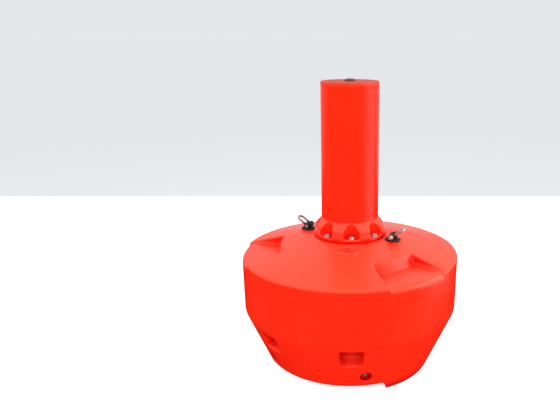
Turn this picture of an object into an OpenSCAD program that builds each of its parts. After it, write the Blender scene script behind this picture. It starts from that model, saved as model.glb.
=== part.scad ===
// Navigation buoy: a moulded float that stands on two moulded feet, a bolted tower
// with a lantern seat, two lifting shackles on the deck and a mooring eye underneath.
// Units are millimetres. The origin is on the axis at floor level and +Z is up.
// A bearing is an angle round the axis, from the front (-Y) towards the right (+X).

/* [Float] */
// Outer diameter of the float's upright band
float_d = 1200; // [1160:10:1260]
// Height of the band's lower edge above the floor
band_low_z = 342; // [330:1:370]
// Height of the upright band
band_h = 302; // [270:1:340]
// Rise of the deck cone from the band to the tower's seat
deck_rise = 100; // [90:1:115]
// Diameter of the float's bottom at the floor
bottom_d = 910; // [880:5:940]
// Fillet between the deck and the band
deck_edge_r = 17; // [8:1:24]
// Fillet between the band and the lower cone
bilge_r = 50; // [20:5:80]
// Fillet round the bottom of the float
bottom_edge_r = 27; // [10:1:34]

/* [Feet and channel] */
// Height of the channel between the two feet
channel_h = 48; // [40:1:54]
// Clear width of the channel between the two feet
channel_w = 680; // [640:2:700]
// Fillet round the outer edge of the feet
foot_edge_r = 16; // [5:1:25]

/* [Deck pockets] */
// Bearing of the pocket on either side
deck_pocket_angle = 60.2; // [55:0.2:65]
// Angle between the side walls of each pocket, at its floor
deck_pocket_span_angle = 37.5; // [30:0.5:45]
// Radius of each pocket's inner wall, level with the band's upper edge
deck_pocket_r = 408; // [390:2:440]
// Slope of each pocket's inner wall from upright
deck_pocket_lean = 26; // [0:1:32]
// Draft of each pocket's side walls
deck_pocket_draft_angle = 6; // [2:1:15]
// Drop of the pocket floors below the band's upper edge
deck_pocket_drop = 2; // [0:1:12]
// Fillet at the foot of the pocket's walls
deck_pocket_foot_r = 14; // [8:1:26]
// Round-over between each pocket's floor and the band
deck_pocket_rim_r = 36; // [24:1:44]

/* [Lower recesses] */
// Bearing of the recesses from the front and from the back
recess_angle = 24.4; // [20:0.2:26]
// Width of each recess at its upper edge
recess_top_w = 130; // [110:2:140]
// Width of each recess at its lower edge
recess_low_w = 106; // [90:2:116]
// Height of each recess
recess_h = 110; // [90:2:120]
// Height of the recess's lower edge above the floor
recess_z = 203; // [196:1:212]
// Depth of each recess
recess_depth = 84; // [60:2:100]
// Draft of the recess walls over their depth
recess_draft = 18; // [5:1:25]
// Fillet between the recess's floor and its back wall
recess_back_r = 34; // [10:1:38]
// Fillet between the recess's other walls and its back wall
recess_side_r = 18; // [8:1:24]
// Corner radius of the recess outline
recess_corner_r = 12; // [4:1:20]

/* [Drain holes] */
// Bearing of the drain holes from the front and from the back
drain_angle = 33; // [30:1:38]
// Height of the drain holes above the floor
drain_z = 123; // [115:1:140]
// Diameter of the drain holes
drain_d = 62; // [46:1:68]
// Depth of the drain holes
drain_depth = 50; // [40:1:60]
// Diameter of the flange on each drain plug
drain_plug_d = 32; // [28:1:40]
// Thickness of the flange on each drain plug
drain_plug_t = 4; // [3:1:8]
// Width across the square head of each drain plug
drain_head_w = 16; // [12:1:18]
// Height of the square head of each drain plug
drain_head_h = 16; // [8:1:18]

/* [Tower] */
// Outer diameter of the tower at its top
tower_d = 306; // [296:1:312]
// Outer diameter of the tower at the top of its foot
tower_low_d = 313; // [308:1:316]
// Height of the tower above its seat on the float
tower_h = 809; // [700:1:900]

/* [Tower foot] */
// Outer diameter of the tower's foot
foot_d = 400; // [390:2:410]
// Thickness of the foot's rim
foot_rim_h = 20; // [14:1:26]
// Height of the steep part of the foot above the rim
foot_steep_h = 41; // [32:1:48]
// Inset of the steep part from the rim to its upper end
foot_steep_in = 12; // [6:1:16]
// Height of the sloping shoulder above the steep part
foot_shoulder_h = 37; // [30:1:44]
// Number of bolt pockets round the foot
foot_pockets = 8; // [6:1:9]
// Bearing of the first bolt pocket
foot_pocket_angle = 26; // [0:0.5:44.5]
// Diameter of each round bolt pocket
foot_pocket_d = 93; // [80:1:98]
// Gap between each pocket's innermost point and the tower
foot_pocket_gap = 2; // [1:0.5:6]
// Diameter of the foot's bolt circle
foot_bolt_circle_d = 360; // [354:1:366]
// Diameter of the foot's bolt holes
foot_bolt_d = 18; // [14:1:20]
// Depth of the threaded inserts under the foot's bolts
insert_depth = 40; // [25:1:60]
// Diameter of the threads in those inserts
insert_d = 16; // [12:1:16]

/* [Lantern seat] */
// Thickness of the lantern plate
lantern_plate_t = 12; // [8:1:16]
// Diameter of the lantern's bolt circle
lantern_bolt_circle_d = 200; // [180:1:220]
// Number of lantern bolts
lantern_bolts = 4; // [3:1:6]
// Diameter of the lantern's bolt holes
lantern_hole_d = 14; // [11:1:16]
// Depth of the lantern's bolt holes below the plate
lantern_hole_depth = 30; // [20:1:50]
// Radius on the lantern plate's upper edge
lantern_plate_r = 4; // [1:1:7]
// Diameter of the cable cap
cable_cap_d = 56; // [50:1:80]
// Height of the cable cap
cable_cap_h = 12; // [10:1:20]

/* [Fill plug] */
// Distance of the pad's centre to the right of the axis
fill_pad_x = 98; // [90:1:110]
// Distance of the pad's centre in front of the axis
fill_pad_y = 244; // [242:1:256]
// Width of the level pad
fill_pad_w = 96; // [84:1:100]
// Depth of the pad from front to back
fill_pad_l = 72; // [66:1:76]
// Corner radius of the pad
fill_pad_r = 9; // [4:1:14]
// Drop of the pad below the tower's seat
fill_pad_drop = 13; // [10:1:18]
// Diameter of the fill plug
fill_plug_d = 56; // [48:1:60]
// Height of the fill plug above the pad
fill_plug_h = 6; // [4:1:10]
// Width across the flats of the key recess in the plug
fill_key_w = 26; // [18:1:30]

/* [Lifting lugs] */
// Distance of each lifting eye from the axis
lug_at_r = 256; // [254:1:262]
// Length of the lug's base plate, outwards from the axis
lug_base_l = 74; // [70:1:80]
// Width of the lug's base plate
lug_base_w = 56; // [52:1:64]
// Thickness of the lug's base plate
lug_base_t = 8; // [6:1:12]
// Corner radius of the base plate
lug_corner_r = 10; // [5:1:16]
// Margin of the moulded pad round the base plate
lug_pad_margin = 5; // [3:1:6]
// Drop of the moulded pad below the tower's seat
lug_pad_drop = 12; // [8:1:16]
// Thickness of the upright eye plate
lug_eye_t = 12; // [10:1:14]
// Length of the eye plate at its foot
lug_eye_l = 62; // [56:1:66]
// Radius of the eye plate round its hole
lug_eye_r = 20; // [18:1:22]
// Bolt spacing of the base plate, outwards from the axis
lug_bolt_l = 54; // [50:1:56]
// Bolt spacing of the base plate, across
lug_bolt_w = 37; // [34:1:38]
// Diameter of the bolt holes in the base plate
lug_bolt_d = 9; // [8:0.5:10]

/* [Shackles] */
// Diameter of the shackle's bar
shackle_bar_d = 14; // [12:1:15]
// How much thicker the shackle's legs are than its bow
shackle_leg_swell = 1; // [0.6:0.2:2]
// Diameter of the shackle's pin
shackle_pin_d = 16; // [14:1:18]
// Diameter of the round eyes at the shackle's ends
shackle_eye_d = 32; // [28:1:34]
// Thickness of those eyes
shackle_eye_t = 19; // [18:0.5:21]
// Gap between each eye and the lug's eye plate
shackle_side_gap = 5; // [4:0.5:6]
// Distance from the pin to the centre of the bow
shackle_bow_at = 52; // [44:1:58]
// Radius of the bow's centre line
shackle_bow_r = 24; // [22:1:27]
// Angle of the shackle above level, leaning outwards
shackle_lean = 35; // [20:1:60]
// Gap between the shackle's eye and the base plate
shackle_floor_gap = 4; // [3:0.5:6]
// Clearance of the pin in the lug's hole
pin_clearance = 0.5; // [0.25:0.05:1]
// Clearance of the pin in the shackle's own eyes
pin_fit = 0.3; // [0.2:0.05:0.5]
// How far the pin's end stands out of the shackle's eye
pin_tail = 3; // [1:0.5:6]
// Diameter of the pin's collar
pin_collar_d = 26; // [22:1:30]
// Thickness of the pin's collar
pin_collar_t = 5; // [4:1:8]
// Diameter of the flat tab on the pin's head
pin_tab_d = 24; // [20:1:26]
// Thickness of that tab
pin_tab_t = 7; // [5:1:9]

/* [Mooring eye] */
// Diameter of the round recess in the underside
mooring_recess_d = 260; // [240:5:300]
// Depth of the recess above the channel
mooring_recess_h = 112; // [106:1:130]
// Diameter of the mooring eye's round base plate
mooring_plate_d = 190; // [160:5:210]
// Thickness of the base plate
mooring_plate_t = 12; // [8:1:16]
// Thickness of the eye plate
mooring_eye_t = 22; // [16:1:26]
// Diameter of the mooring eye's hole
mooring_hole_d = 38; // [30:1:40]
// Radius of the eye plate round its hole
mooring_eye_r = 38; // [34:1:42]
// Length of the eye plate where it meets its base plate
mooring_eye_l = 122; // [100:2:140]
// Height of the eye's lowest point above the channel
mooring_eye_lift = 4; // [2:1:8]
// Number of bolts in the base plate
mooring_bolts = 6; // [4:1:8]
// Diameter of the base plate's bolt circle
mooring_bolt_circle_d = 156; // [140:1:164]
// Diameter of the base plate's bolt holes
mooring_bolt_d = 14; // [11:1:16]

/* [Hidden] */
$fn = 96;

// Colours
shell_red = [0.96, 0.13, 0.05];
plate_red = [0.85, 0.16, 0.10];
zinc = [0.66, 0.68, 0.70];
steel = [0.78, 0.79, 0.80];
cap_dark = [0.16, 0.10, 0.10];

// Degrees between the points of a fillet
arc_step = 9;
// Overlap of a cutter past the face that it cuts
past = 2;
// Bearings of the front and of the back
front_and_back = [0, 180];
// Turn of each side's lifting gear
right = 0;
left = 180;

// Radii
float_r = float_d / 2;
bottom_r = bottom_d / 2;
tower_r = tower_d / 2;
tower_low_r = tower_low_d / 2;
foot_r = foot_d / 2;
// Margin of the level seat round the tower's foot
seat_margin = 4;
seat_r = foot_r + seat_margin;
foot_pocket_at_r = tower_low_r + foot_pocket_gap + foot_pocket_d / 2;

// Heights
band_top_z = band_low_z + band_h;
pocket_floor_z = band_top_z - deck_pocket_drop;
seat_z = band_top_z + deck_rise;
foot_rim_z = seat_z + foot_rim_h;
foot_steep_z = foot_rim_z + foot_steep_h;
foot_top_z = foot_steep_z + foot_shoulder_h;
tower_top_z = seat_z + tower_h;
lantern_z = tower_top_z + lantern_plate_t;
fill_pad_z = seat_z - fill_pad_drop;
lug_pad_z = seat_z - lug_pad_drop;
lug_base_z = lug_pad_z + lug_base_t;
lug_pin_z = lug_base_z + shackle_eye_d / 2 + shackle_floor_gap;
mooring_top_z = channel_h + mooring_recess_h;
mooring_plate_z = mooring_top_z - mooring_plate_t;
mooring_hole_z = channel_h + mooring_eye_lift + mooring_eye_r;

// Shackle sizes across the pin
jaw_half = lug_eye_t / 2 + shackle_side_gap;
leg_y = jaw_half + shackle_eye_t / 2;
jaw_out = jaw_half + shackle_eye_t;

// Fillets inside the tower's foot outline
rim_edge_r = 5;
shoulder_r = 22;
neck_r = 14;

// Fillets of the cable cap and of the fill plug
cap_side_r = 3;
cap_crown_r = 6;
plug_edge_r = 3;

// Radius of the lower cone at height z
function cone_r(z) = bottom_r + (float_r - bottom_r) * z / band_low_z;

// Unit vector along v
function unit(v) = v / norm(v);

// Points of the fillet of radius r that rounds corner p between points a and b
function corner_arc(a, p, b, r) =
    let (
        u = unit(a - p),
        w = unit(b - p),
        half = acos(u * w) / 2,
        c = p + unit(u + w) * r / sin(half),
        first = p + u * r / tan(half) - c,
        from = atan2(first.y, first.x),
        turn = sign(cross(w, u)) * 2 * (90 - half),
        n = max(2, ceil(abs(turn) / arc_step))
    )
    [for (i = [0:n]) c + r * [cos(from + turn * i / n), sin(from + turn * i / n)]];

// Outline whose corners are rounded; each corner is [x, y, radius]
function soft_outline(corners) =
    let (n = len(corners), at = [for (c = corners) [c.x, c.y]])
    [for (i = [0:n - 1])
        each corners[i].z == 0
            ? [at[i]]
            : corner_arc(at[(i + n - 1) % n], at[i], at[(i + 1) % n], corners[i].z)];

// Turns its children, drawn along +X, to a bearing
module at_bearing(bearing) {
    rotate([0, 0, bearing - 90])
        children();
}

// Rectangle with rounded corners, centred
module soft_rectangle(l, w, r) {
    polygon(soft_outline([
        [-l / 2, -w / 2, r],
        [l / 2, -w / 2, r],
        [l / 2, w / 2, r],
        [-l / 2, w / 2, r]
    ]));
}

// Upright plate with a round head: a foot of length l and a head of radius r at height h
module eye_outline(l, h, r) {
    reach = norm([l / 2, h]);
    lean = atan2(-h, l / 2) + acos(r / reach);
    polygon([
        [-l / 2, 0],
        [l / 2, 0],
        [r * cos(lean), h + r * sin(lean)],
        [-r * cos(lean), h + r * sin(lean)]
    ]);
    translate([0, h])
        circle(r);
}

// Float above the channel, without its pockets
module float_body() {
    rotate_extrude()
        polygon(soft_outline([
            [0, channel_h, 0],
            [cone_r(channel_h), channel_h, bottom_edge_r],
            [float_r, band_low_z, bilge_r],
            [float_r, band_top_z, deck_edge_r],
            [seat_r, seat_z, 0],
            [0, seat_z, 0]
        ]));
}

// The part of its children between two heights
module between(low_z, high_z) {
    intersection() {
        children();
        translate([0, 0, low_z])
            cylinder(h = high_z - low_z, r = float_r + past);
    }
}

// Two crescents on either side of the channel, from the floor past the float's lower fillet
module crescents() {
    blend_z = channel_h + bottom_edge_r + past;
    difference() {
        rotate_extrude()
            polygon(soft_outline([
                [0, 0, 0],
                [bottom_r, 0, foot_edge_r],
                [cone_r(blend_z), blend_z, 0],
                [0, blend_z, 0]
            ]));
        translate([-channel_w / 2, -float_r, -past])
            cube([channel_w, float_d, blend_z + 2 * past]);
    }
}

// Prism whose drafted side is the deck pocket's left wall, with a fillet at the wall's foot
module deck_pocket_side(out_r, high_z) {
    rotate([0, 0, deck_pocket_span_angle / 2])
        rotate([90, 0, 90])
            linear_extrude(out_r)
                polygon(soft_outline([
                    [-float_r, pocket_floor_z, 0],
                    [0, pocket_floor_z, deck_pocket_foot_r],
                    [(high_z - pocket_floor_z) * tan(deck_pocket_draft_angle), high_z, 0],
                    [-float_r, high_z, 0]
                ]));
}

// Cutter of one level deck pocket: a turned wall inside and a drafted wall on either side
module deck_pocket() {
    out_r = float_r + past;
    high_z = seat_z + past;
    wall_r = deck_pocket_r + deck_pocket_drop * tan(deck_pocket_lean);
    intersection() {
        rotate([0, 0, -deck_pocket_span_angle])
            rotate_extrude(angle = 2 * deck_pocket_span_angle)
                polygon(soft_outline([
                    [wall_r, pocket_floor_z, deck_pocket_foot_r],
                    [out_r, pocket_floor_z, 0],
                    [out_r, high_z, 0],
                    [wall_r - (high_z - pocket_floor_z) * tan(deck_pocket_lean), high_z, 0]
                ]));
        deck_pocket_side(out_r, high_z);
        mirror([0, 1, 0])
            deck_pocket_side(out_r, high_z);
    }
}

// Cutter of the round-over between a deck pocket's floor and the band, between the wall's fillets
module deck_pocket_rim() {
    out_r = float_r + past;
    fillet_angle = atan(deck_pocket_foot_r / float_r);
    span_angle = deck_pocket_span_angle - 2 * fillet_angle;
    rotate([0, 0, -span_angle / 2])
        rotate_extrude(angle = span_angle)
            polygon(soft_outline([
                [float_r - 3 * deck_pocket_rim_r, pocket_floor_z + past, 0],
                [float_r, pocket_floor_z, deck_pocket_rim_r],
                [out_r, pocket_floor_z - 3 * deck_pocket_rim_r, 0],
                [out_r, pocket_floor_z + past, 0]
            ]));
}

// Places its children, drawn along +X, at both deck pockets
module at_deck_pockets() {
    for (side = [-1, 1])
        at_bearing(side * deck_pocket_angle)
            children();
}

// Cutter of one drafted recess in the lower cone
module lower_recess() {
    out_x = float_r + past;
    mid_x = cone_r(recess_z + recess_h / 2);
    back_x = mid_x - recess_depth;
    flare = recess_draft * (out_x - back_x) / recess_depth;
    low_z = recess_z + recess_draft;
    high_z = recess_z + recess_h - recess_draft;
    side_w = recess_top_w / 2 - recess_draft;
    intersection() {
        rotate([90, 0, 0])
            linear_extrude(recess_top_w * 2, center = true)
                polygon(soft_outline([
                    [back_x, low_z, recess_back_r],
                    [out_x, low_z - flare, 0],
                    [out_x, high_z + flare, 0],
                    [back_x, high_z, recess_side_r]
                ]));
        linear_extrude(seat_z)
            polygon(soft_outline([
                [back_x, -side_w, recess_side_r],
                [out_x, -side_w - flare, 0],
                [out_x, side_w + flare, 0],
                [back_x, side_w, recess_side_r]
            ]));
        translate([0, 0, recess_z])
            rotate([90, 0, 90])
                linear_extrude(out_x)
                    polygon(soft_outline([
                        [-recess_low_w / 2, 0, recess_corner_r],
                        [recess_low_w / 2, 0, recess_corner_r],
                        [recess_top_w / 2, recess_h, recess_corner_r],
                        [-recess_top_w / 2, recess_h, recess_corner_r]
                    ]));
    }
}

// Cutter of one drain hole
module drain_hole() {
    translate([cone_r(drain_z) - drain_depth, 0, drain_z])
        rotate([0, 90, 0])
            cylinder(h = drain_depth * 3, d = drain_d);
}

// Places its children at each bolt pocket of the tower's foot
module at_foot_pockets() {
    for (i = [0:foot_pockets - 1])
        at_bearing(foot_pocket_angle + i * 360 / foot_pockets)
            children();
}

// Cutters of the threaded inserts under the tower's foot
module foot_inserts() {
    at_foot_pockets()
        translate([foot_bolt_circle_d / 2, 0, seat_z - insert_depth])
            cylinder(h = insert_depth + past, d = insert_d);
}

// Moulded pad under one lifting lug
module lug_pad(z, h) {
    translate([lug_at_r, 0, z])
        linear_extrude(h)
            soft_rectangle(
                lug_base_l + 2 * lug_pad_margin,
                lug_base_w + 2 * lug_pad_margin,
                lug_corner_r + lug_pad_margin
            );
}

// Level pad under the fill plug, square with the buoy's front
module fill_pad(z, h) {
    translate([fill_pad_x, -fill_pad_y, z])
        linear_extrude(h)
            soft_rectangle(fill_pad_w, fill_pad_l, fill_pad_r);
}

// Places its children on both sides, turned round for the left one
module on_both_sides() {
    for (side = [right, left])
        rotate([0, 0, side])
            children();
}

// Places its children, drawn along +X, at a bearing either side of the front and of the back
module at_four(bearing) {
    for (end = front_and_back)
        for (side = [-1, 1])
            at_bearing(end + side * bearing)
                children();
}

// Deck cone above the level of the pockets' floors
module float_deck() {
    color(shell_red)
        difference() {
            union() {
                between(pocket_floor_z, seat_z)
                    float_body();
                on_both_sides()
                    lug_pad(band_top_z, lug_pad_z - band_top_z);
                fill_pad(band_top_z, fill_pad_z - band_top_z);
            }
            on_both_sides()
                lug_pad(lug_pad_z, deck_rise);
            fill_pad(fill_pad_z, deck_rise);
            at_deck_pockets()
                deck_pocket();
            foot_inserts();
        }
}

// Upright band between the lower cone and the pockets' floors
module float_band() {
    color(shell_red)
        difference() {
            between(band_low_z, pocket_floor_z)
                float_body();
            at_deck_pockets()
                deck_pocket_rim();
        }
}

// Lower cone above the channel, with its recesses
module float_base() {
    color(shell_red)
        difference() {
            union() {
                between(channel_h, band_low_z)
                    float_body();
                between(channel_h, band_low_z)
                    crescents();
            }
            at_four(recess_angle)
                lower_recess();
            at_four(drain_angle)
                drain_hole();
            translate([0, 0, channel_h - past])
                cylinder(h = mooring_recess_h + past, d = mooring_recess_d);
        }
}

// The two feet
module feet() {
    color(shell_red)
        between(0, channel_h)
            crescents();
}

// Cutter of one round bolt pocket, which leaves the tower's own wall standing
module foot_pocket() {
    translate([foot_pocket_at_r, 0, foot_rim_z])
        cylinder(h = foot_top_z - foot_rim_z + past, d = foot_pocket_d);
}

module tower() {
    steep_r = foot_r - foot_steep_in;
    color(shell_red)
        difference() {
            rotate_extrude()
                polygon(soft_outline([
                    [0, seat_z, 0],
                    [foot_r, seat_z, 0],
                    [foot_r, foot_rim_z, rim_edge_r],
                    [steep_r, foot_steep_z, shoulder_r],
                    [tower_low_r, foot_top_z, neck_r],
                    [tower_r, tower_top_z, 0],
                    [0, tower_top_z, 0]
                ]));
            at_foot_pockets() {
                foot_pocket();
                translate([foot_bolt_circle_d / 2, 0, seat_z - past])
                    cylinder(h = foot_rim_h + 2 * past, d = foot_bolt_d);
            }
            lantern_holes();
        }
}

// Cutters of the lantern's bolt holes through the plate and into the tower
module lantern_holes() {
    for (i = [0:lantern_bolts - 1])
        rotate([0, 0, (i + 0.5) * 360 / lantern_bolts])
            translate([lantern_bolt_circle_d / 2, 0, tower_top_z - lantern_hole_depth])
                cylinder(
                    h = lantern_hole_depth + lantern_plate_t + past,
                    d = lantern_hole_d
                );
}

module lantern_plate() {
    color(plate_red)
        difference() {
            rotate_extrude()
                polygon(soft_outline([
                    [0, tower_top_z, 0],
                    [tower_r, tower_top_z, 0],
                    [tower_r, lantern_z, lantern_plate_r],
                    [0, lantern_z, 0]
                ]));
            lantern_holes();
        }
}

module cable_cap() {
    crown_h = cable_cap_h / 3;
    color(cap_dark)
        translate([0, 0, lantern_z])
            rotate_extrude()
                polygon(soft_outline([
                    [0, 0, 0],
                    [cable_cap_d / 2, 0, 0],
                    [cable_cap_d / 2, cable_cap_h - crown_h, cap_side_r],
                    [cable_cap_d / 4, cable_cap_h, cap_crown_r],
                    [0, cable_cap_h, 0]
                ]));
}

module fill_plug() {
    color(shell_red)
        translate([fill_pad_x, -fill_pad_y, fill_pad_z])
            difference() {
                rotate_extrude()
                    polygon(soft_outline([
                        [0, 0, 0],
                        [fill_plug_d / 2, 0, 0],
                        [fill_plug_d / 2, fill_plug_h, plug_edge_r],
                        [0, fill_plug_h, 0]
                    ]));
                translate([0, 0, fill_plug_h / 2])
                    cylinder(h = fill_plug_h, d = fill_key_w / cos(30), $fn = 6);
            }
}

// Plug at the bottom of a drain hole, with a flange and a square head
module drain_plug() {
    translate([cone_r(drain_z) - drain_depth, 0, drain_z])
        rotate([0, 90, 0]) {
            cylinder(h = drain_plug_t, d = drain_plug_d);
            translate([-drain_head_w / 2, -drain_head_w / 2, drain_plug_t])
                cube([drain_head_w, drain_head_w, drain_head_h]);
        }
}

module drain_plugs() {
    color(steel)
        at_four(drain_angle)
            drain_plug();
}

// Round base plate at the top of the mooring recess
module mooring_plate() {
    color(zinc)
        difference() {
            translate([0, 0, mooring_plate_z])
                cylinder(h = mooring_plate_t, d = mooring_plate_d);
            for (i = [0:mooring_bolts - 1])
                rotate([0, 0, (i + 0.5) * 360 / mooring_bolts])
                    translate([mooring_bolt_circle_d / 2, 0, mooring_plate_z - past])
                        cylinder(h = mooring_plate_t + 2 * past, d = mooring_bolt_d);
        }
}

// Eye plate that hangs from the base plate
module mooring_eye() {
    color(zinc)
        difference() {
            translate([0, 0, mooring_plate_z])
                rotate([-90, 0, 0])
                    linear_extrude(mooring_eye_t, center = true)
                        eye_outline(
                            mooring_eye_l,
                            mooring_plate_z - mooring_hole_z,
                            mooring_eye_r
                        );
            translate([0, 0, mooring_hole_z])
                rotate([90, 0, 0])
                    cylinder(h = mooring_eye_t + 2 * past, d = mooring_hole_d, center = true);
        }
}

// Lifting lug on the right side: a bolted base plate and an upright eye plate
module lug() {
    pin_h = lug_pin_z - lug_base_z;
    color(zinc)
        translate([lug_at_r, 0, 0]) {
            difference() {
                translate([0, 0, lug_pad_z])
                    linear_extrude(lug_base_t)
                        soft_rectangle(lug_base_l, lug_base_w, lug_corner_r);
                for (x = [-1, 1])
                    for (y = [-1, 1])
                        translate([x * lug_bolt_l / 2, y * lug_bolt_w / 2, lug_pad_z - past])
                            cylinder(h = lug_base_t + 2 * past, d = lug_bolt_d);
            }
            difference() {
                translate([0, 0, lug_base_z])
                    rotate([90, 0, 0])
                        linear_extrude(lug_eye_t, center = true)
                            eye_outline(lug_eye_l, pin_h, lug_eye_r);
                translate([0, 0, lug_pin_z])
                    rotate([90, 0, 0])
                        cylinder(
                            h = lug_eye_t + 2 * past,
                            d = shackle_pin_d + 2 * pin_clearance,
                            center = true
                        );
            }
        }
}

// Places its children, drawn round the pin with the bow along +X, on the right lug
module on_pin() {
    translate([lug_at_r, 0, lug_pin_z])
        rotate([0, -shackle_lean, 0])
            children();
}

// Bow shackle: two eyes, two legs that spread, and the round bow between them
module shackle_bow() {
    reach = norm([shackle_bow_at, leg_y]);
    meet = 180 - atan2(leg_y, shackle_bow_at) - acos(shackle_bow_r / reach);
    spread = meet - 90;
    leg_l = sqrt(reach * reach - shackle_bow_r * shackle_bow_r);
    color(zinc)
        on_pin()
            difference() {
                union() {
                    translate([shackle_bow_at, 0, 0])
                        rotate([0, 0, -meet])
                            rotate_extrude(angle = 2 * meet)
                                translate([shackle_bow_r, 0])
                                    circle(d = shackle_bar_d);
                    for (side = [-1, 1]) {
                        translate([0, side * leg_y, 0])
                            rotate([0, 90, side * spread])
                                cylinder(
                                    h = leg_l + shackle_leg_swell,
                                    d = shackle_bar_d + shackle_leg_swell
                                );
                        translate([0, side * leg_y, 0])
                            rotate([90, 0, 0])
                                cylinder(h = shackle_eye_t, d = shackle_eye_d, center = true);
                    }
                }
                rotate([90, 0, 0])
                    cylinder(
                        h = 2 * jaw_out + 2 * past,
                        d = shackle_pin_d + 2 * pin_fit,
                        center = true
                    );
            }
}

// Screw pin with a collar and a flat tab to turn it by
module shackle_pin() {
    tab_y = -jaw_out - pin_collar_t - pin_tab_d / 2;
    color(steel)
        on_pin() {
            translate([0, jaw_out + pin_tail, 0])
                rotate([90, 0, 0])
                    cylinder(h = 2 * jaw_out + pin_tail + pin_collar_t, d = shackle_pin_d);
            translate([0, -jaw_out, 0])
                rotate([90, 0, 0])
                    cylinder(h = pin_collar_t, d = pin_collar_d);
            difference() {
                translate([0, tab_y + past, 0])
                    cylinder(h = pin_tab_t, d = pin_tab_d, center = true);
                translate([0, tab_y, 0])
                    cylinder(h = pin_tab_t + 2 * past, d = pin_tab_d / 3, center = true);
            }
        }
}

float_deck();
float_band();
float_base();
feet();
tower();
lantern_plate();
cable_cap();
fill_plug();
drain_plugs();
mooring_plate();
mooring_eye();
rotate([0, 0, right]) lug();  // lug_right
rotate([0, 0, left]) lug();  // lug_left
rotate([0, 0, right]) shackle_bow();  // shackle_bow_right
rotate([0, 0, left]) shackle_bow();  // shackle_bow_left
rotate([0, 0, right]) shackle_pin();  // shackle_pin_right
rotate([0, 0, left]) shackle_pin();  // shackle_pin_left
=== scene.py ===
import math

import bmesh
import bpy
from mathutils import Matrix, Vector


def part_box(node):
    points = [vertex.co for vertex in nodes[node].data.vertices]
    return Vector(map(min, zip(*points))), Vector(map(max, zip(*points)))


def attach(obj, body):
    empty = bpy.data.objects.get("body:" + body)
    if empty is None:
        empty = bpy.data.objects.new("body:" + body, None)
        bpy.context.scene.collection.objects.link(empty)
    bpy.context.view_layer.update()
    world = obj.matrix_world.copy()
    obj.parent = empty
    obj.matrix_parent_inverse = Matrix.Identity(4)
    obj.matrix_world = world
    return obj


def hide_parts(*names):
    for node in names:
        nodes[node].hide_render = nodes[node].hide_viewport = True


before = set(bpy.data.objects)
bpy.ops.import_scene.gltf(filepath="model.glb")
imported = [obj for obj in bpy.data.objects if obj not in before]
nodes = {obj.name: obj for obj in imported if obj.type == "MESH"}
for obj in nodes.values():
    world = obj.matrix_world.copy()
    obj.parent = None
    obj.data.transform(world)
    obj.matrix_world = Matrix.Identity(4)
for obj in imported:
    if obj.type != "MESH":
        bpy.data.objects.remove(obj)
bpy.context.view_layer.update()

# The photograph's frame, and where the buoy's axis and the lens axis fall in it, in its pixels
PHOTO_W = 560
PHOTO_H = 400
AXIS_X = 349.9
LENS_AXIS_Y = 245.0
# Focal length in the photograph's pixels, and the film width that it is scaled to
FOCAL_PX = 606.1
FILM_W = 36.0
# Where the camera stands: distance from the axis, height, bearing and pitch
CAMERA_REACH = 3.228
CAMERA_H = 1.784
CAMERA_BEARING = math.radians(23.5)
CAMERA_PITCH = math.radians(19.03)

# The stage: where the white floor ends behind the buoy, and what each kind of ray finds
WHITE_FLOOR_REACH = 3.7
FLOOR_WHITE = (0.93, 0.93, 0.93, 1)
FLOOR_GREY = (0.481, 0.500, 0.515, 1)
FLOOR_LIGHTING = (0.65, 0.65, 0.65, 1)
FLOOR_MIRRORED = (0.01, 0.01, 0.012, 1)
FLOOR_MIRRORED_FAR = (0.75, 0.72, 0.72, 1)
FLOOR_GLOW = 0.7
SKY_LIGHT = 0.90
SKY_MIRRORED = 0.82
SKY_LOW = 0.40
SKY_SHOWN = (0.78, 0.81, 0.835, 1)

# How far the painted shade in the red mouldings' nooks reaches, and how much upright and level faces
# of them mirror
PAINTED_SHADE_REACH = 0.07
DULL = 0.14
GLOSSY = 0.30

# Places of the fasteners that the CAD model leaves out
FOOT_BOLTS = 8
FOOT_BOLT_BEARING = 26
FOOT_BOLT_R = 0.180
FOOT_RIM_Z = 0.764
LUG_X = 0.256
LUG_BOLT_X = 0.027
LUG_BOLT_Y = 0.0185
LUG_BASE_Z = 0.740
PIN_Z = 0.760
MOORING_BOLTS = 6
MOORING_BOLT_R = 0.078
MOORING_PLATE_Z = 0.148

# Bolts: head's width across flats, head's height, washer's radius and thickness
M16_BOLT = (0.024, 0.010, 0.0150, 0.003)
M12_BOLT = (0.019, 0.0075, 0.0120, 0.0025)
M8_LOW_BOLT = (0.013, 0.0022, 0.0080, 0.0008)
# Welds: length and width of the plate's foot, and the bead's radius
LUG_WELD = (0.066, 0.016, 0.0028)
MOORING_WELD = (0.126, 0.026, 0.0040)

# Moulded edges: the remesh's voxel for the float and for the tower, and its smoothing rounds
FLOAT_VOXEL = 0.0056
FLOAT_ROUNDS = 1
TOWER_VOXEL = 0.004
TOWER_ROUNDS = 2

# Reds: as moulded, its deeper patches, and a paler red painted on faces that look up as the sky's
# sheen
SHELL_REDS = ((0.95, 0.018, 0.0012), (0.92, 0.014, 0.0008), (0.96, 0.055, 0.022))
TOWER_REDS = ((0.94, 0.018, 0.0012), (0.92, 0.014, 0.0008), (0.95, 0.058, 0.030))


def compass(bearing, reach, z):
    """Point at a bearing from the front towards the right, a distance from the axis and a height."""
    return Vector((reach * math.sin(bearing), -reach * math.cos(bearing), z))


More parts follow.
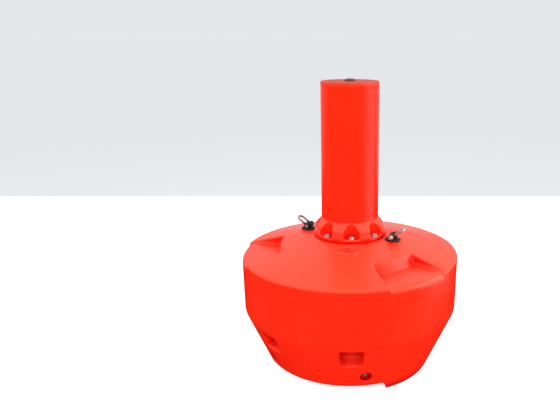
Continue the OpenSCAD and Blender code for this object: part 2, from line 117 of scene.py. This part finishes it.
def make_camera():
    data = bpy.data.cameras.new("camera")
    camera = bpy.data.objects.new("camera", data)
    bpy.context.scene.collection.objects.link(camera)
    data.sensor_width = FILM_W
    data.lens = FOCAL_PX / PHOTO_W * FILM_W
    data.shift_x = (PHOTO_W / 2 - AXIS_X) / PHOTO_W
    data.shift_y = (LENS_AXIS_Y - PHOTO_H / 2) / PHOTO_W
    data.clip_end = 1000
    camera.location = compass(CAMERA_BEARING, CAMERA_REACH, CAMERA_H)
    towards = compass(CAMERA_BEARING, -math.cos(CAMERA_PITCH), -math.sin(CAMERA_PITCH))
    camera.rotation_euler = towards.to_track_quat("-Z", "Y").to_euler()
    bpy.context.scene.camera = camera


# Materials

class Nodes:
    """A material's node tree, with short calls to add to it."""

    def __init__(self, name):
        self.material = bpy.data.materials.new(name)
        self.material.use_nodes = True
        self.tree = self.material.node_tree
        self.tree.nodes.clear()
        self.out = self.add("ShaderNodeOutputMaterial")
        self.shader = self.add("ShaderNodeBsdfPrincipled")
        self.link(self.shader.outputs[0], self.out.inputs["Surface"])
        self.place = self.add("ShaderNodeTexCoord").outputs["Object"]

    def add(self, kind, **settings):
        node = self.tree.nodes.new(kind)
        for key, value in settings.items():
            setattr(node, key, value)
        return node

    def link(self, source, target):
        self.tree.links.new(source, target)

    def set(self, **values):
        for key, value in values.items():
            self.shader.inputs[key.replace("_", " ")].default_value = value

    def noise(self, scale, detail=3.0, rough=0.5, stretch=(1, 1, 1)):
        at = self.place
        if stretch != (1, 1, 1):
            mapping = self.add("ShaderNodeMapping")
            mapping.inputs["Scale"].default_value = stretch
            self.link(at, mapping.inputs["Vector"])
            at = mapping.outputs["Vector"]
        node = self.add("ShaderNodeTexNoise")
        node.inputs["Scale"].default_value = scale
        node.inputs["Detail"].default_value = detail
        node.inputs["Roughness"].default_value = rough
        self.link(at, node.inputs["Vector"])
        return node.outputs["Fac"]

    def ramp(self, source, *stops):
        """Colour ramp; each stop is (place, colour), and a colour may be one grey value."""
        node = self.add("ShaderNodeValToRGB")
        ramp = node.color_ramp
        while len(ramp.elements) < len(stops):
            ramp.elements.new(0.5)
        for element, (place, colour) in zip(ramp.elements, stops):
            element.position = place
            if isinstance(colour, (int, float)):
                colour = (colour, colour, colour)
            element.color = (*colour, 1)
        self.link(source, node.inputs["Fac"])
        return node.outputs["Color"]

    def mix(self, share, first, second, blend="MIX"):
        node = self.add("ShaderNodeMix", data_type="RGBA", blend_type=blend)
        for value, socket in ((share, 0), (first, 6), (second, 7)):
            if isinstance(value, bpy.types.NodeSocket):
                self.link(value, node.inputs[socket])
            else:
                node.inputs[socket].default_value = value
        return node.outputs[2]

    def away_from(self, line, near, far):
        """Rises from 0 to 1 between two distances from a line along Y, given as |x| and z."""
        split = self.add("ShaderNodeSeparateXYZ")
        self.link(self.place, split.inputs["Vector"])
        side = self.add("ShaderNodeMath", operation="ABSOLUTE")
        self.link(split.outputs["X"], side.inputs[0])
        flat = self.add("ShaderNodeCombineXYZ")
        self.link(side.outputs[0], flat.inputs["X"])
        self.link(split.outputs["Z"], flat.inputs["Z"])
        reach = self.add("ShaderNodeVectorMath", operation="DISTANCE")
        reach.inputs[1].default_value = (line[0], 0, line[1])
        self.link(flat.outputs["Vector"], reach.inputs[0])
        share = self.add("ShaderNodeMapRange", interpolation_type="SMOOTHSTEP")
        share.inputs["From Min"].default_value = near
        share.inputs["From Max"].default_value = far
        self.link(reach.outputs["Value"], share.inputs["Value"])
        return share.outputs["Result"]

    def bump(self, *layers):
        """Chain of bumps; each layer is (height source, depth in metres)."""
        normal = None
        for height, depth in layers:
            node = self.add("ShaderNodeBump")
            node.inputs["Strength"].default_value = 1.0
            node.inputs["Distance"].default_value = depth
            self.link(height, node.inputs["Height"])
            if normal is not None:
                self.link(normal, node.inputs["Normal"])
            normal = node.outputs["Normal"]
        self.link(normal, self.shader.inputs["Normal"])


def moulded_red(name, colour, deep, painted_sheen_colour):
    """Rotomoulded polyethylene: painted sky sheen, a paler red, where it faces up in the open; dull
    on upright faces; painted shade, a deep red, in nooks.
    """
    m = Nodes(name)
    base = m.mix(m.ramp(m.noise(3.5, 2.0), (0.3, 0.0), (0.7, 1.0)), (*deep, 1), (*colour, 1))
    up = m.add("ShaderNodeSeparateXYZ")
    m.link(m.add("ShaderNodeNewGeometry").outputs["Normal"], up.inputs["Vector"])
    facing_up = m.ramp(up.outputs["Z"], (0.08, 0.0), (0.55, 1.0))
    nook = m.add("ShaderNodeAmbientOcclusion", samples=8)
    nook.inputs["Distance"].default_value = PAINTED_SHADE_REACH
    outside_painted_shade = m.ramp(nook.outputs["AO"], (0.40, 0.0), (0.92, 1.0))
    # Painted sheen: faces that look up and lie in the open take a paler red, standing in for the
    # sky's sheen
    painted_sheen_share = m.mix(1.0, facing_up, outside_painted_shade, "MULTIPLY")
    base = m.mix(painted_sheen_share, base, (*painted_sheen_colour, 1))
    # Painted shade: nooks darken towards a deep red wherever the AO finds surfaces close by
    base = m.mix(outside_painted_shade, (deep[0] * 0.7, 0, deep[2], 1), base)
    scuffs = m.noise(60, 6.0, 0.7, (1, 1, 5))
    chalk = m.ramp(scuffs, (0.62, 0.0), (0.8, 0.03))
    m.link(m.mix(chalk, base, (0.95, 0.22, 0.14, 1)), m.shader.inputs["Base Color"])
    m.link(m.ramp(m.noise(9, 4.0), (0.3, 0.21), (0.7, 0.29)), m.shader.inputs["Roughness"])
    m.link(m.mix(painted_sheen_share, (DULL, DULL, DULL, 1), (GLOSSY, GLOSSY, GLOSSY, 1)),
           m.shader.inputs["Specular IOR Level"])
    m.bump((m.noise(6, 1.0), 0.003), (m.noise(260, 2.0), 0.00012), (scuffs, 0.00005))
    return m.material


def galvanised(name, pin_line=None):
    """Hot-dip zinc: grey crystals of differing brightness, and near black close round the pin's line,
    if one is given.
    """
    m = Nodes(name)
    crystals = m.add("ShaderNodeTexVoronoi", feature="F1")
    crystals.inputs["Scale"].default_value = 160
    m.link(m.place, crystals.inputs["Vector"])
    value = m.add("ShaderNodeSeparateColor")
    m.link(crystals.outputs["Color"], value.inputs["Color"])
    tone = m.ramp(value.outputs["Red"], (0.0, (0.42, 0.44, 0.46)), (1.0, (0.66, 0.68, 0.70)))
    dull = m.ramp(m.noise(30, 4.0), (0.35, 0.0), (0.7, 0.5))
    tone = m.mix(dull, tone, (0.50, 0.51, 0.52, 1))
    if pin_line is not None:
        tone = m.mix(m.away_from(pin_line, 0.017, 0.034), (0.07, 0.06, 0.055, 1), tone)
    m.link(tone, m.shader.inputs["Base Color"])
    m.link(m.ramp(value.outputs["Green"], (0.0, 0.32), (1.0, 0.52)), m.shader.inputs["Roughness"])
    m.set(Metallic=0.9)
    m.bump((m.noise(420, 3.0), 0.00015), (m.noise(40, 2.0), 0.0004))
    return m.material


def stainless(name):
    """Turned and polished stainless steel with fine tool marks."""
    m = Nodes(name)
    marks = m.noise(900, 2.0, 0.5, (1, 1, 0.05))
    m.link(m.ramp(marks, (0.3, (0.60, 0.61, 0.62)), (0.7, (0.76, 0.77, 0.78))),
           m.shader.inputs["Base Color"])
    m.link(m.ramp(m.noise(120, 3.0), (0.3, 0.20), (0.7, 0.34)), m.shader.inputs["Roughness"])
    m.set(Metallic=0.75)
    m.bump((marks, 0.00004))
    return m.material


def coated_steel(name):
    """Black coating over steel, rubbed to bare metal in small spots."""
    m = Nodes(name)
    rubbed = m.ramp(m.noise(130, 5.0, 0.65), (0.60, 0.0), (0.68, 1.0))
    tone = m.ramp(m.noise(45, 3.0), (0.3, (0.016, 0.015, 0.016)), (0.7, (0.034, 0.030, 0.030)))
    m.link(m.mix(rubbed, tone, (0.30, 0.29, 0.28, 1)), m.shader.inputs["Base Color"])
    m.link(m.ramp(m.noise(90, 3.0), (0.3, 0.38), (0.7, 0.55)), m.shader.inputs["Roughness"])
    m.link(rubbed, m.shader.inputs["Metallic"])
    m.bump((m.noise(300, 3.0), 0.00015), (rubbed, -0.00008))
    return m.material


def painted_plate(name):
    """Red paint on steel, a little thick and uneven."""
    m = Nodes(name)
    tone = m.ramp(m.noise(12, 3.0), (0.3, (0.62, 0.035, 0.015)), (0.7, (0.72, 0.05, 0.02)))
    m.link(tone, m.shader.inputs["Base Color"])
    m.link(m.ramp(m.noise(70, 3.0), (0.3, 0.34), (0.7, 0.46)), m.shader.inputs["Roughness"])
    m.set(Specular_IOR_Level=0.2)
    m.bump((m.noise(320, 3.0), 0.00012))
    return m.material


def dark_moulding(name):
    """Brown moulded nylon with a fine grain."""
    m = Nodes(name)
    tone = m.ramp(m.noise(90, 4.0), (0.3, (0.10, 0.040, 0.036)), (0.7, (0.17, 0.070, 0.060)))
    m.link(tone, m.shader.inputs["Base Color"])
    m.link(m.ramp(m.noise(200, 3.0), (0.3, 0.45), (0.7, 0.6)), m.shader.inputs["Roughness"])
    m.bump((m.noise(700, 2.0), 0.00008))
    return m.material


def paint(piece, material):
    piece.data.materials.clear()
    piece.data.materials.append(material)


# Mesh pieces

def piece_from(name, mesh, body, material, smooth_angle=None):
    """Links a finished mesh as a piece that rides on a body."""
    piece = bpy.data.objects.new(name, mesh)
    bpy.context.scene.collection.objects.link(piece)
    paint(piece, material)
    if smooth_angle is not None:
        for face in mesh.polygons:
            face.use_smooth = True
        mesh.set_sharp_from_angle(angle=smooth_angle)
    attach(piece, body)
    return piece


def softened(replaced, voxel, rounds):
    """One moulded mesh over CAD nodes that meet, with its edges rounded as a mould leaves them."""
    joined = bmesh.new()
    for node in replaced:
        joined.from_mesh(nodes[node].data)
    mesh = bpy.data.meshes.new("joined")
    joined.to_mesh(mesh)
    joined.free()
    copy = bpy.data.objects.new("joined", mesh)
    bpy.context.scene.collection.objects.link(copy)
    remesh = copy.modifiers.new("remesh", "REMESH")
    remesh.mode = "VOXEL"
    remesh.voxel_size = voxel
    smooth = copy.modifiers.new("smooth", "SMOOTH")
    smooth.factor = 0.5
    smooth.iterations = rounds
    depsgraph = bpy.context.evaluated_depsgraph_get()
    final = bpy.data.meshes.new_from_object(copy.evaluated_get(depsgraph))
    bpy.data.objects.remove(copy)
    for face in final.polygons:
        face.use_smooth = True
    return final


def share_between(mesh, low_z, high_z):
    """Copy of the mesh's faces whose middles lie between two heights."""
    bm = bmesh.new()
    bm.from_mesh(mesh)
    outside = [f for f in bm.faces if not low_z <= f.calc_center_median().z < high_z]
    bmesh.ops.delete(bm, geom=outside, context="FACES")
    part = bpy.data.meshes.new("share")
    bm.to_mesh(part)
    bm.free()
    return part


def skin(name, mesh, replaced, material):
    """Links a finished mesh in the place of the CAD nodes that it covers."""
    mesh.name = name
    piece = piece_from(name, mesh, "buoy", material)
    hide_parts(*replaced)


def ring(bm, place, points):
    """Vertices at the points, moved to their place."""
    return [bm.verts.new(place @ Vector(p)) for p in points]


def bridge(bm, low, high):
    """Faces between two closed rings of as many points."""
    for i in range(len(low)):
        j = (i + 1) % len(low)
        bm.faces.new((low[i], low[j], high[j], high[i]))


def turned(bm, place, profile, sides=32):
    """Turned form round Z from (radius, height) points; either may be a function of the angle."""
    rings = []
    for radius, height in profile:
        points = []
        for i in range(sides):
            angle = 2 * math.pi * i / sides
            r = radius(angle) if callable(radius) else radius
            z = height(angle) if callable(height) else height
            points.append((r * math.cos(angle), r * math.sin(angle), z))
        rings.append(ring(bm, place, points))
    for low, high in zip(rings, rings[1:]):
        bridge(bm, low, high)
    bm.faces.new(list(reversed(rings[0])))
    bm.faces.new(rings[-1])


def hex_bolt(bm, place, across, head_h, washer_r, washer_t):
    """Washer and chamfered hexagon head that stand on the origin of place."""
    chamfer_r = across / 2 * 0.96
    edge = washer_t * 0.3

    def flats(angle):
        return across / 2 / math.cos((angle % (math.pi / 3)) - math.pi / 6)

    def shoulder(angle):
        return washer_t + head_h - (flats(angle) - chamfer_r) * math.tan(math.radians(30))

    turned(bm, place, [
        (washer_r, 0),
        (washer_r, washer_t - edge),
        (washer_r - edge, washer_t),
        (across / 2 * 0.5, washer_t),
    ])
    turned(bm, place, [
        (flats, washer_t * 0.9),
        (flats, shoulder),
        (chamfer_r, washer_t + head_h),
        (chamfer_r * 0.55, washer_t + head_h),
        (chamfer_r * 0.50, washer_t + head_h - 0.0004),
    ], 48)


def bolts(name, body, places, across, head_h, washer_r, washer_t, material, slot="stainless"):
    """One piece of equal bolts, each with its washer, at the places."""
    bm = bmesh.new()
    for place in places:
        hex_bolt(bm, place, across, head_h, washer_r, washer_t)
    mesh = bpy.data.meshes.new(name)
    bm.to_mesh(mesh)
    bm.free()
    return piece_from(name, mesh, body, material, math.radians(35))


def weld(name, body, centre, length, width, radius, material, slot):
    """Rippled fillet weld round the foot of an upright plate, lying in a level plane."""
    half_l = length / 2
    half_w = width / 2
    corner = radius * 1.2
    path = []
    for at_x, at_y, start in (
        (half_l, half_w, 0), (-half_l, half_w, 90), (-half_l, -half_w, 180), (half_l, -half_w, 270)
    ):
        for step in range(5):
            angle = math.radians(start + step * 22.5)
            x = at_x + math.copysign(-corner, at_x) + corner * math.cos(angle)
            y = at_y + math.copysign(-corner, at_y) + corner * math.sin(angle)
            path.append(Vector((x, y, 0)))
    closed = path + path[:1]
    steps = []
    for first, second in zip(closed, closed[1:]):
        count = max(1, round((second - first).length / (radius * 0.35)))
        steps += [first.lerp(second, i / count) for i in range(count)]
    bm = bmesh.new()
    rings = []
    for i, point in enumerate(steps):
        ahead = (steps[(i + 1) % len(steps)] - steps[i - 1]).normalized()
        out = Vector((ahead.y, -ahead.x, 0))
        size = radius * (1 + 0.10 * math.cos(i * 2 * math.pi / 4))
        points = [point + size * (out * math.cos(a) + Vector((0, 0, math.sin(a))))
                  for a in [math.pi / 4 * k for k in range(8)]]
        rings.append(ring(bm, Matrix.Translation(centre), points))
    for low, high in zip(rings, rings[1:] + rings[:1]):
        bridge(bm, low, high)
    bmesh.ops.recalc_face_normals(bm, faces=bm.faces)
    mesh = bpy.data.meshes.new(name)
    bm.to_mesh(mesh)
    bm.free()
    return piece_from(name, mesh, body, material, math.radians(60))


# Stage

def make_floor():
    """White floor that turns grey behind the buoy; mirrored in the buoy, it is dark."""
    bpy.ops.mesh.primitive_plane_add(size=900, location=(0, 0, 0))
    floor = bpy.context.object
    floor.name = "floor"
    m = Nodes("floor_paint")
    turn = m.add("ShaderNodeMapping")
    turn.inputs["Rotation"].default_value = (0, 0, -CAMERA_BEARING)
    m.link(m.place, turn.inputs["Vector"])
    back = m.add("ShaderNodeSeparateXYZ")
    m.link(turn.outputs["Vector"], back.inputs["Vector"])
    far = m.add("ShaderNodeMath", operation="GREATER_THAN")
    far.inputs[1].default_value = WHITE_FLOOR_REACH
    m.link(back.outputs["Y"], far.inputs[0])
    tone = m.mix(far.outputs[0], FLOOR_WHITE, FLOOR_GREY)
    rays = m.add("ShaderNodeLightPath")
    lighting = m.mix(rays.outputs["Is Diffuse Ray"], tone, FLOOR_LIGHTING)
    mirrored = m.mix(far.outputs[0], FLOOR_MIRRORED, FLOOR_MIRRORED_FAR)
    m.link(m.mix(rays.outputs["Is Glossy Ray"], lighting, mirrored), m.shader.inputs["Base Color"])
    glow = m.add("ShaderNodeMath", operation="MULTIPLY")
    glow.inputs[1].default_value = FLOOR_GLOW
    m.link(rays.outputs["Is Camera Ray"], glow.inputs[0])
    m.link(tone, m.shader.inputs["Emission Color"])
    m.link(glow.outputs[0], m.shader.inputs["Emission Strength"])
    m.shader.inputs["Roughness"].default_value = 1.0
    m.shader.inputs["Specular IOR Level"].default_value = 0.0
    paint(floor, m.material)


def make_sky():
    """Even white light all round; mirrored in the buoy, it is dim low down and bright higher up."""
    world = bpy.data.worlds.new("sky")
    bpy.context.scene.world = world
    world.use_nodes = True
    world.cycles.sampling_method = "NONE"
    tree = world.node_tree
    back = tree.nodes["Background"]
    place = tree.nodes.new("ShaderNodeTexCoord")
    split = tree.nodes.new("ShaderNodeSeparateXYZ")
    tree.links.new(place.outputs["Generated"], split.inputs["Vector"])
    ramp = tree.nodes.new("ShaderNodeValToRGB")
    for element, (at, grey) in zip(ramp.color_ramp.elements, ((0.05, SKY_LOW), (0.45, SKY_MIRRORED))):
        element.position = at
        element.color = (grey, grey * 0.96, grey * 0.9, 1)
    tree.links.new(split.outputs["Z"], ramp.inputs["Fac"])
    rays = tree.nodes.new("ShaderNodeLightPath")
    even = tree.nodes.new("ShaderNodeMix")
    even.data_type = "RGBA"
    even.inputs[6].default_value = (SKY_LIGHT, SKY_LIGHT, SKY_LIGHT, 1)
    tree.links.new(rays.outputs["Is Glossy Ray"], even.inputs[0])
    tree.links.new(ramp.outputs["Color"], even.inputs[7])
    shown = tree.nodes.new("ShaderNodeMix")
    shown.data_type = "RGBA"
    shown.inputs[7].default_value = SKY_SHOWN
    tree.links.new(rays.outputs["Is Camera Ray"], shown.inputs[0])
    tree.links.new(even.outputs[2], shown.inputs[6])
    tree.links.new(shown.outputs[2], back.inputs["Color"])


def area_light(name, bearing, reach, height, wide, tall, power, mirrored=False, aim=(0, 0, 0.8)):
    """Soft box that the camera doesn't see, aimed at a point; mirrored in the buoy only if said."""
    data = bpy.data.lights.new(name, "AREA")
    data.shape = "RECTANGLE"
    data.size = wide
    data.size_y = tall
    data.energy = power
    light = bpy.data.objects.new(name, data)
    bpy.context.scene.collection.objects.link(light)
    light.location = compass(math.radians(bearing), reach, height)
    towards = Vector(aim) - light.location
    light.rotation_euler = towards.to_track_quat("-Z", "Y").to_euler()
    light.visible_camera = False
    light.visible_glossy = mirrored


make_camera()
make_floor()
make_sky()
area_light("right_strip", 108, 1.75, 0.95, 1.4, 1.9, 18, mirrored=True)
area_light("right_fill", 95, 3.6, 1.4, 2.0, 2.4, 24)
area_light("left_fill", -75, 3.6, 1.4, 2.0, 2.4, 42)
area_light("front_key", 14, 4.2, 3.4, 2.6, 2.0, 120, aim=(0, 0, 0.6))

shell = moulded_red("moulded_red", *SHELL_REDS)
tower_shell = moulded_red("tower_red", *TOWER_REDS)
zinc = galvanised("galvanised")
pin_zinc = galvanised("galvanised_shackle", (LUG_X, PIN_Z))
bright = stainless("stainless")
black = coated_steel("black_coat")
plate_paint = painted_plate("plate_paint")
cap_grain = dark_moulding("cap_grain")

for node in ("mooring_plate", "mooring_eye"):
    paint(nodes[node], zinc)
for node in ("shackle_bow_right", "shackle_bow_left"):
    paint(nodes[node], pin_zinc)
for node in ("lug_right", "lug_left"):
    paint(nodes[node], black)
for node in ("shackle_pin_right", "shackle_pin_left", "drain_plugs"):
    paint(nodes[node], bright)
paint(nodes["lantern_plate"], plate_paint)
paint(nodes["cable_cap"], cap_grain)
paint(nodes["fill_plug"], shell)
upper = ("float_deck", "float_band")
lower = ("float_base", "feet")
moulding = softened(upper + lower, FLOAT_VOXEL, FLOAT_ROUNDS)
split_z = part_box("float_band")[0].z
skin("float_upper_skin", share_between(moulding, split_z, 9), upper, shell)
skin("float_lower_skin", share_between(moulding, -9, split_z), lower, shell)
tower = softened(("tower",), TOWER_VOXEL, TOWER_ROUNDS)
skin("tower_skin", tower, ("tower",), tower_shell)

foot_places = []
for i in range(FOOT_BOLTS):
    bearing = math.radians(FOOT_BOLT_BEARING + 360 / FOOT_BOLTS * i)
    at = Matrix.Translation(compass(bearing, FOOT_BOLT_R, FOOT_RIM_Z))
    foot_places.append(at @ Matrix.Rotation(math.radians(17 * i), 4, "Z"))
bolts("tower_bolts", "buoy", foot_places, *M16_BOLT, bright)
for side, name in ((1, "right"), (-1, "left")):
    lug_places = [
        Matrix.Translation((side * (LUG_X + x * LUG_BOLT_X), y * LUG_BOLT_Y, LUG_BASE_Z))
        @ Matrix.Rotation(math.radians(23 * (x + 2 * y)), 4, "Z")
        for x in (-1, 1) for y in (-1, 1)
    ]
    bolts("lug_bolts_" + name, "buoy", lug_places, *M8_LOW_BOLT, black, "lug_coat")
    weld("lug_weld_" + name, "buoy", (side * LUG_X, 0, LUG_BASE_Z), *LUG_WELD, black, "lug_coat")
under_places = []
for i in range(MOORING_BOLTS):
    bearing = math.radians(30 + 360 / MOORING_BOLTS * i)
    at = Matrix.Translation(compass(bearing, MOORING_BOLT_R, MOORING_PLATE_Z))
    upside_down = Matrix.Rotation(math.pi, 4, "X")
    under_places.append(at @ upside_down @ Matrix.Rotation(math.radians(19 * i), 4, "Z"))
bolts("mooring_bolts", "buoy", under_places, *M12_BOLT, bright)
weld("mooring_weld", "buoy", (0, 0, MOORING_PLATE_Z), *MOORING_WELD, zinc, "galvanised")

bpy.context.scene.view_settings.view_transform = "Standard"
